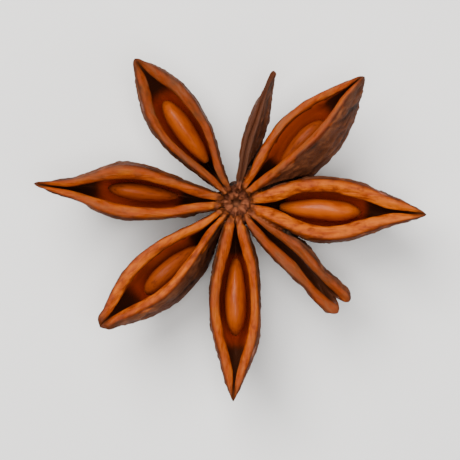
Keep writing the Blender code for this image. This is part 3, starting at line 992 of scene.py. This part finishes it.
@dataclass(frozen=True)
class Column:
    """The short core that the follicles grow from, with a pit above and the stalk's scar below."""

    sides: int = 40
    radius: float = 2.0
    pit_radius: float = 0.45
    pit_bottom: float = 5.5
    collar: float = 6.4
    lobe_height: float = 0.5  # of the ridges that run in from the follicles
    scar_radius: float = 1.75
    scar_height: float = 1.1
    scar_rim: float = 0.35
    scar_sink: float = 0.3
    pith_radius: float = 0.4

    def profile(self) -> list[tuple[float, float]]:
        """The outline of the column.

        Returns:
            (radius, height) of each ring, from the middle of the pit down to the scar.
        """
        inner_rim = self.scar_radius - self.scar_rim
        return [
            (0.3 * self.pit_radius, self.pit_bottom),
            (0.7 * self.pit_radius, self.pit_bottom + 0.1),
            (self.pit_radius, 0.5 * (self.pit_bottom + self.collar)),
            (1.5 * self.pit_radius, self.collar - 0.1),
            (2.2 * self.pit_radius, self.collar),
            (3.0 * self.pit_radius, self.collar),
            (0.85 * self.radius, self.collar - 0.1),
            (self.radius, 3.8),
            (self.scar_radius, 2.3),
            (self.scar_radius, self.scar_height + 0.2),
            (self.scar_radius - 0.4 * self.scar_rim, self.scar_height),
            (inner_rim, self.scar_height + 0.04),
            (inner_rim - 0.15, self.scar_height + self.scar_sink),
            (1.3 * self.pith_radius, self.scar_height + self.scar_sink),
            (self.pith_radius, self.scar_height + self.scar_sink + 0.12),
        ]

    def lobe(self, place: Vector) -> float:
        """How nearly a place lies in line with a follicle: 0 halfway between two, and 1 in line.

        Args:
            place: A point of the column.

        Returns:
            The share.
        """
        turn = math.degrees(math.atan2(place.y, place.x))
        away = min(abs((turn - f.heading + 180.0) % 360.0 - 180.0) for f in FOLLICLES)
        return math.cos(math.radians(4.0 * min(away, 22.5)))

    def build(self) -> bpy.types.Object:
        """Draws a circle down through the rings of the profile and closes it.

        Returns:
            The column on its axis, in millimetres.
        """
        rings = self.profile()
        radius, height = rings[0]
        bpy.ops.object.select_all(action="DESELECT")
        bpy.ops.mesh.primitive_circle_add(
            vertices=self.sides, radius=radius, fill_type="TRIFAN", location=(0.0, 0.0, height))
        core = bpy.context.object
        core.name = "husk_fine"
        bpy.ops.object.transform_apply(location=True, rotation=True, scale=True)
        with edit_mode(core) as shape:
            select_points(shape, lambda co: co.xy.length > 0.5 * radius)
            for wider, lower in rings[1:]:
                bpy.ops.mesh.extrude_edges_move(
                    TRANSFORM_OT_translate={"value": (0.0, 0.0, lower - height)})
                bpy.ops.transform.resize(value=(wider / radius, wider / radius, 1.0))
                radius, height = wider, lower
            bpy.ops.mesh.edge_face_add()
            bpy.ops.mesh.poke()
            for vert in shape.verts:
                if vert.co.z > self.pit_bottom - 0.1:
                    clear = smooth(vert.co.xy.length / self.pit_radius - 0.5)
                    vert.co.z += self.lobe_height * ((self.lobe(vert.co) - 0.6) * clear)
            bpy.ops.mesh.select_all(action="SELECT")
            bpy.ops.mesh.normals_make_consistent(inside=False)
        subdivide(core, 1)
        return core


@dataclass
class Memory:
    """What each point of the pieces was, before they grew together."""

    tree: KDTree
    marks: list[dict[Mark, Any]] = field(default_factory=list)
    exact: float = 0.0005  # how near, in millimetres, a point is still the same one

    def keep(self, place: Vector, marks: dict[Mark, Any]) -> None:
        """Remembers a point."""
        self.tree.insert(place, len(self.marks))
        self.marks.append(marks)

    def recall(self, place: Vector) -> tuple[dict[Mark, Any], bool]:
        """The marks of the nearest point, and whether it is the point itself."""
        _, index, distance = self.tree.find(place)
        return self.marks[index], distance < self.exact


@dataclass(frozen=True)
class Wrinkles:
    """How the husk shrank as it dried. Lengths are in millimetres."""

    fold: float = 0.15
    fold_length: float = 2.9
    fold_girth: float = 0.85
    pebble_size: float = 0.42
    swell: float = 0.10
    swell_size: float = 3.4
    lip_share: float = 0.16
    hollow_share: float = 0.10
    lump: float = 0.20  # at the core
    lump_size: float = 0.34
    seam: float = 0.7  # how far round a seam between two follicles stays as it grew
    seam_depth: float = 0.22
    seam_width: float = 0.4

    def outside(self, grain: Vector) -> float:
        """The height of the skin, with sharp folds and small pebbles.

        Args:
            grain: The place along, across and above its follicle, in millimetres.

        Returns:
            The height, from about -1 to 1.
        """
        slow = grain * 0.6
        drift = Vector((noise.noise(slow), noise.noise(slow + Vector((9.0, 0.0, 0.0))), 0.0))
        spot = Vector((grain.x / self.fold_length, grain.y / self.fold_girth,
                       grain.z / self.fold_girth)) + 0.45 * drift
        fold = 1.0 - 3.2 * abs(noise.noise(spot))
        second = 1.0 - 3.2 * abs(noise.noise(spot * 1.9 + Vector((31.0, 7.0, 3.0))))
        pebble = noise.noise(grain / self.pebble_size)
        return 0.56 * fold + 0.36 * second + 0.40 * pebble - 0.1

    def height(self, marks: dict[Mark, Any]) -> tuple[float, float, float]:
        """How far a point of the husk moves out.

        Args:
            marks: What is known of the point.

        Returns:
            The movement of the skin and that of the core's lumps, in millimetres, and the relief
            from 0 to 1, which the finish paints as shade where it is low and as a highlight where it
            is high.
        """
        grain = marks[Mark.GRAIN]
        relief = self.outside(grain)
        smoother = max(marks[Mark.LIP], smooth(marks[Mark.HOLLOW] / 0.1))
        share = 1.0 - smooth(smoother / 0.6)
        least = self.hollow_share if marks[Mark.HOLLOW] > 0.1 else self.lip_share
        calm = 1.0 - 0.6 * smooth((marks[Mark.TIP] - 0.3) / 0.7)
        push = self.fold * relief * (least + (1.0 - least) * share) * calm
        swell = self.swell * noise.noise(grain / self.swell_size) * (0.4 + 0.6 * share)
        lump = noise.noise(grain / self.lump_size) * marks[Mark.CORE]
        relief += 1.4 * lump + marks[Mark.RELIEF]
        return push + swell, self.lump * lump, min(1.0, max(0.0, 0.5 + 0.42 * relief))


@dataclass(frozen=True)
class Husk:
    """The column and its eight follicles, as the one piece that they grew as."""

    finish: bpy.types.Material
    axis: Vector
    column: Column = Column()
    wrinkles: Wrinkles = Wrinkles()
    tip_share: float = 0.84  # of the reach, where the beak begins
    core_radius: float = 1.05  # within which the grown-together ends are rough and dark
    core_edge: float = 1.4  # and how far out from there they turn into clean lips
    seam_reach: float = 0.25  # how far from a seam it is rounded
    heart_ring: tuple[float, float] = (0.6, 1.5)  # radii between which the column's top is too
    sharpest: float = 65.0  # degrees, over which an edge stays hard

    def remember(self, memory: Memory, pod: bpy.types.Object, follicle: Follicle,
                 order: int) -> None:
        """Keeps the marks of a follicle's points, and moves them to its heading.

        Args:
            memory: Where they are kept.
            pod: The follicle's mesh, in its own frame.
            follicle: Its sizes.
            order: Its number, so that no two have the same grain.
        """
        drawn = {mark: pod.data.attributes[mark.value].data for mark in DRAWN}
        offset = Vector((0.0, 40.0 * (order + 1), 0.0))
        place = follicle.placement()
        for index, vert in enumerate(pod.data.vertices):
            share = vert.co.x / follicle.reach
            marks = {mark: layer[index].value for mark, layer in drawn.items()}
            marks |= {
                Mark.TIP: smooth((share - self.tip_share) / (1.0 - self.tip_share)),
                Mark.SCAR: 0.0,
                Mark.DULL: follicle.dull,
                Mark.CORE: 1.0 - smooth((vert.co.x - self.core_radius) / self.core_edge),
                Mark.GRAIN: vert.co + offset,
                Mark.RELIEF: 0.0,
            }
            memory.keep(place @ vert.co, marks)
        pod.data.transform(place)

    def remember_column(self, memory: Memory, core: bpy.types.Object) -> None:
        """Keeps the marks of the column's points.

        Args:
            memory: Where they are kept.
            core: The column's mesh.
        """
        scar_top = self.column.scar_height + self.column.scar_sink + 0.2
        for vert in core.data.vertices:
            below = vert.co.z < scar_top and vert.co.xy.length < self.column.scar_radius
            above = smooth((vert.co.z - self.column.collar + 0.7) / 0.6)
            marks = {Mark.LIP: 0.35 * above, Mark.RIM: 0.0, Mark.HOLLOW: 0.0, Mark.TIP: 0.0,
                     Mark.SLIT: 0.0, Mark.SCAR: 1.0 if below else 0.0, Mark.DULL: 0.9,
                     Mark.CORE: above, Mark.GRAIN: vert.co.copy(),
                     Mark.RELIEF: 1.2 * above * (self.column.lobe(vert.co) - 0.7)}
            memory.keep(vert.co, marks)

    def grown_together(self) -> tuple[bpy.types.Object, Memory]:
        """Joins the follicles to the column one after another.

        Returns:
            The joined husk, and the memory of its pieces.
        """
        core = self.column.build()
        pods = [follicle.build() for follicle in FOLLICLES]
        count = sum(len(piece.data.vertices) for piece in (core, *pods))
        memory = Memory(KDTree(count))
        self.remember_column(memory, core)
        for order, (pod, follicle) in enumerate(zip(pods, FOLLICLES)):
            self.remember(memory, pod, follicle, order)
            apply_modifier(core, "BOOLEAN", operation="UNION", solver="MANIFOLD", object=pod)
            bpy.data.objects.remove(pod)
        memory.tree.balance()
        return core, memory

    def soften_seams(self, husk: bpy.types.Object, memory: Memory) -> KDTree:
        """Rounds the seams where the follicles meet.

        Args:
            husk: The joined husk.
            memory: What its points were.

        Returns:
            The places of the seams.
        """
        cut = [v.co.copy() for v in husk.data.vertices if not memory.recall(v.co)[1]]
        seams = KDTree(len(cut))
        for index, place in enumerate(cut):
            seams.insert(place, index)
        seams.balance()
        with edit_mode(husk) as shape:
            for vert in shape.verts:  # the join leaves points on its seams that no face turns at
                vert.select_set(len(vert.link_edges) == 2)
            bpy.ops.mesh.dissolve_verts()
            shape.verts.ensure_lookup_table()
            select_points(shape, lambda co: seams.find(co)[2] < self.seam_reach)
            bpy.ops.mesh.vertices_smooth(factor=0.5, repeat=4)
            inner, outer = self.heart_ring
            bottom = self.column.pit_bottom
            select_points(shape, lambda co: inner < co.xy.length < outer and co.z > bottom)
            bpy.ops.mesh.vertices_smooth(factor=0.5, repeat=4)
        return seams

    def dried(self, husk: bpy.types.Object, memory: Memory, seams: KDTree) -> None:
        """Wrinkles the husk, and writes its marks where its finish reads them.

        Args:
            husk: The joined husk.
            memory: What its points were.
            seams: The places of its seams.
        """
        husk.data.update()
        known = [memory.recall(vert.co)[0] for vert in husk.data.vertices]
        moves, relief_with_crease_shade = [], []
        for vert, marks in zip(husk.data.vertices, known):
            skin, lump, relief = self.wrinkles.height(marks)
            away = seams.find(vert.co)[2]
            free = smooth(away / self.wrinkles.seam)
            crease = 1.0 - smooth(away / self.wrinkles.seam_width)
            sink = self.wrinkles.seam_depth * crease * (1.0 - 0.6 * marks[Mark.CORE])
            moves.append(vert.normal * (skin * free + lump - sink))
            # Lowering the relief along the seams paints shade in the creases between follicles.
            relief_with_crease_shade.append(relief * (1.0 - crease * (1.0 - 0.6 * marks[Mark.CORE])))
        for vert, move in zip(husk.data.vertices, moves):
            vert.co += move
        for mark in (*DRAWN, Mark.TIP, Mark.SCAR, Mark.DULL, Mark.CORE, Mark.GRAIN):
            write_mark(husk, mark, [marks[mark] for marks in known])
        write_mark(husk, Mark.RELIEF, relief_with_crease_shade)

    def worn_flat(self, husk: bpy.types.Object) -> None:
        """Cuts off what would reach below the floor, and closes the cuts.

        Args:
            husk: The wrinkled husk.
        """
        with edit_mode(husk):
            bpy.ops.mesh.select_all(action="SELECT")
            bpy.ops.mesh.bisect(plane_co=(0.0, 0.0, 0.0), plane_no=(0.0, 0.0, 1.0),
                                use_fill=True, clear_inner=True)

    def build(self) -> bpy.types.Object:
        """Models the husk and puts it in the frame.

        Returns:
            The finished husk.
        """
        husk, memory = self.grown_together()
        seams = self.soften_seams(husk, memory)
        self.dried(husk, memory, seams)
        self.worn_flat(husk)
        settle(husk, Matrix.Translation(self.axis))
        husk.data.materials.clear()
        husk.data.materials.append(self.finish)
        activate(husk)
        bpy.ops.object.shade_smooth_by_angle(angle=math.radians(self.sharpest))
        hand_over(husk, "husk", "husk")
        return husk


@dataclass(frozen=True)
class Seed:
    """A loose seed: a flat oval lens on its edge, with a scar at the end towards the column."""

    follicle: Follicle
    finish: bpy.types.Material
    pitch: float = 5.0
    point: float = 0.26  # how much narrower the inner end is
    crown: float = 0.3  # how much fuller it is under the mouth
    middle_depth: float = 2.9  # below the lips
    step_share: float = 0.3  # of its length, from its middle to where its hollow's line is taken
    segments: int = 32
    rings: int = 20
    ridge: float = 0.06
    dent: float = 0.05

    @property
    def node(self) -> str:
        """The CAD node that the seed stands for."""
        return f"seed_{self.follicle.name}"

    def turn(self) -> Matrix:
        """Lays the seed's x along its hollow, and its z up its flat side.

        Returns:
            The turn, from the seed's own frame to the row's.
        """
        middle = self.follicle.seed_at
        step = self.step_share * self.follicle.seed_length / self.follicle.reach
        near = self.follicle.place(middle - step, 0.0, -self.middle_depth)
        far = self.follicle.place(middle + step, 0.0, -self.middle_depth)
        yaw = Matrix.Rotation(math.atan2(far.y - near.y, far.x - near.x), 4, Z_AXIS)
        pitch = Matrix.Rotation(math.radians(-self.pitch), 4, Y_AXIS)
        return self.follicle.heading_turn() @ yaw @ self.follicle.twist(middle) @ pitch

    def measured(self) -> tuple[Vector, Vector]:
        """Measures the CAD seed.

        Returns:
            Its size along its own axes, and its middle in the row's frame, in millimetres.
        """
        back = self.turn().inverted()
        places = [back @ v.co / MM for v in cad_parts[self.node].data.vertices]
        low = Vector(min(p[i] for p in places) for i in range(3))
        high = Vector(max(p[i] for p in places) for i in range(3))
        return high - low, self.turn() @ (0.5 * (low + high))

    def build(self) -> bpy.types.Object:
        """Models the seed and puts it in the frame.

        Returns:
            The finished seed.
        """
        size, middle = self.measured()
        bpy.ops.object.select_all(action="DESELECT")
        bpy.ops.mesh.primitive_uv_sphere_add(
            segments=self.segments, ring_count=self.rings, radius=0.5,
            rotation=(0.0, math.pi / 2, 0.0))
        seed = bpy.context.object
        seed.name = f"{self.node}_fine"
        bpy.ops.object.transform_apply(location=True, rotation=True, scale=True)
        with edit_mode(seed) as shape:
            for ring in sorted({round(vert.co.x, 4) for vert in shape.verts})[1:-1]:
                taper = 1.0 - self.point * smooth(0.5 - ring)
                select_points(shape, lambda co, at=ring: abs(co.x - at) < 0.001)
                bpy.ops.transform.resize(value=(1.0, taper, taper))
            for vert in shape.verts:
                rim = math.sqrt(max(0.25 - vert.co.x ** 2, 0.0001))
                vert.co.y *= 1.0 + self.crown * max(0.0, vert.co.z / rim)
            select_points(shape, lambda co: abs(co.y) < 0.001 and abs(co.x) < 0.49 and co.z > 0.0)
            bpy.ops.transform.resize(value=(1.0, 1.0, 1.0 + self.ridge))
            bpy.ops.mesh.select_all(action="SELECT")
            bpy.ops.transform.resize(value=size)
            select_points(shape, lambda co: co.x < -0.478 * size.x)
            bpy.ops.transform.translate(value=(0.022 * size.x, 0.0, 0.0))
            bpy.ops.mesh.inset(thickness=0.1, depth=-0.05)
            bpy.ops.mesh.select_all(action="SELECT")
            bpy.ops.mesh.normals_make_consistent(inside=False)
        subdivide(seed, 1)
        self.weather(seed, size)
        settle(seed, Matrix.Translation(middle) @ self.turn())
        seed.data.materials.clear()
        seed.data.materials.append(self.finish)
        activate(seed)
        bpy.ops.object.shade_smooth()
        hand_over(seed, "seed", self.node)
        return seed

    def weather(self, seed: bpy.types.Object, size: Vector) -> None:
        """Dents the coat a little, and writes the marks that its finish reads.

        Args:
            seed: The seed's mesh, in its own frame.
            size: Its size.
        """
        offset = Vector((self.follicle.heading, 0.0, 0.0))
        grain, scars = [], []
        for vert in seed.data.vertices:
            grain.append(vert.co + offset)
            scars.append(1.0 - smooth((vert.co.x / size.x + 0.5) / 0.06))
        moves = [vert.normal * self.dent * noise.noise((vert.co + offset) * 0.8)
                 for vert in seed.data.vertices]
        for vert, move in zip(seed.data.vertices, moves):
            vert.co += move
        write_mark(seed, Mark.GRAIN, grain)
        write_mark(seed, Mark.SCAR, scars)
        write_mark(seed, Mark.DULL, [self.follicle.seed_dull_and_shade] * len(scars))


@dataclass(frozen=True)
class Lamp:
    """A soft square light. Lengths are in metres."""

    name: str
    place: tuple[float, float, float]
    side: float
    power: float
    colour: Colour = (1.0, 1.0, 1.0)

    def build(self) -> bpy.types.Object:
        """Hangs the light so that it looks at the fruit.

        Returns:
            The light.
        """
        bpy.ops.object.select_all(action="DESELECT")
        bpy.ops.object.light_add(type="AREA", location=self.place)
        lamp = bpy.context.object
        lamp.name = self.name
        lamp.rotation_euler = Vector(self.place).to_track_quat(Z_AXIS, Y_AXIS).to_euler()
        lamp.data.size = self.side
        lamp.data.energy = self.power
        lamp.data.color = self.colour
        return lamp


@dataclass(frozen=True)
class Studio:
    """The plain floor, the soft light and the camera that looks straight down."""

    floor_side: float = 0.9
    camera_height: float = 0.5
    frame_share: float = 0.86  # of the frame's width, for the fruit's
    sensor: float = 36.0
    sky: Colour = (1.0, 0.99, 0.97)
    sky_strength: float = 0.22
    lamps: tuple[Lamp, ...] = (
        Lamp("key_light", (-0.14, 0.20, 0.36), 0.30, 3.4, (1.0, 0.98, 0.95)),
        Lamp("top_light", (0.02, -0.03, 0.56), 0.26, 2.1, (1.0, 0.99, 0.97)),
        Lamp("fill_light", (0.30, -0.18, 0.30), 0.35, 0.6, (0.97, 0.98, 1.0)),
    )

    def build(self, low: Vector, high: Vector) -> None:
        """Sets up the studio round the fruit's box.

        Args:
            low: The box's lowest corner, in metres.
            high: Its highest corner.
        """
        bpy.ops.object.select_all(action="DESELECT")
        bpy.ops.mesh.primitive_plane_add(size=self.floor_side)
        floor = bpy.context.object
        floor.name = "floor"
        floor.data.materials.append(FloorFinish().make())
        floor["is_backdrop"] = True
        for lamp in self.lamps:
            lamp.build()
        world = bpy.data.worlds.new("studio")
        world.use_nodes = True
        sky = world.node_tree.nodes["Background"]
        sky.inputs["Color"].default_value = (*self.sky, 1.0)
        sky.inputs["Strength"].default_value = self.sky_strength
        bpy.context.scene.world = world
        middle = 0.5 * (low + high)
        bpy.ops.object.camera_add(location=(middle.x, middle.y, self.camera_height))
        camera = bpy.context.object
        camera.rotation_euler = (0.0, 0.0, 0.0)
        camera.data.sensor_width = self.sensor
        width = (high.x - low.x) / self.frame_share
        camera.data.lens = self.sensor * (self.camera_height - high.z) / width
        bpy.context.scene.camera = camera


def column_axis(low: Vector, high: Vector) -> Vector:
    """Where the column stands, found by laying the follicles' outline on the CAD husk's box.

    Args:
        low: The CAD husk's lowest corner, in metres.
        high: Its highest corner.

    Returns:
        A point of the column's axis on the floor, in millimetres.
    """
    places = []
    for follicle in FOLLICLES:
        rim = [follicle.end_point(GROWTH.stations + 1)]
        for ring in range(1, GROWTH.stations + 1):
            u = follicle.station(ring)
            rim += [follicle.place(u, point.across, point.up) for point in follicle.section(u)]
        places += [follicle.placement() @ place for place in rim]
    outline = [0.5 * (min(p[i] for p in places) + max(p[i] for p in places)) for i in range(2)]
    middle = 0.5 * (low + high) / MM
    return Vector((middle.x - outline[0], middle.y - outline[1], 0.0))


def main() -> None:
    """Builds the husk, the seeds and the studio."""
    logging.basicConfig(level=logging.INFO, format="%(name)s: %(message)s", stream=sys.stdout)
    cad_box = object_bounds()
    axis = column_axis(*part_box("husk"))
    log.info("column at %.2f, %.2f mm", axis.x, axis.y)
    Husk(HuskFinish().make(), axis).build()
    coat = SeedFinish().make()
    for follicle in FOLLICLES:
        if follicle.seed_length:
            Seed(follicle, coat).build()
    Studio().build(*cad_box)


if __name__ == "__main__":
    main()
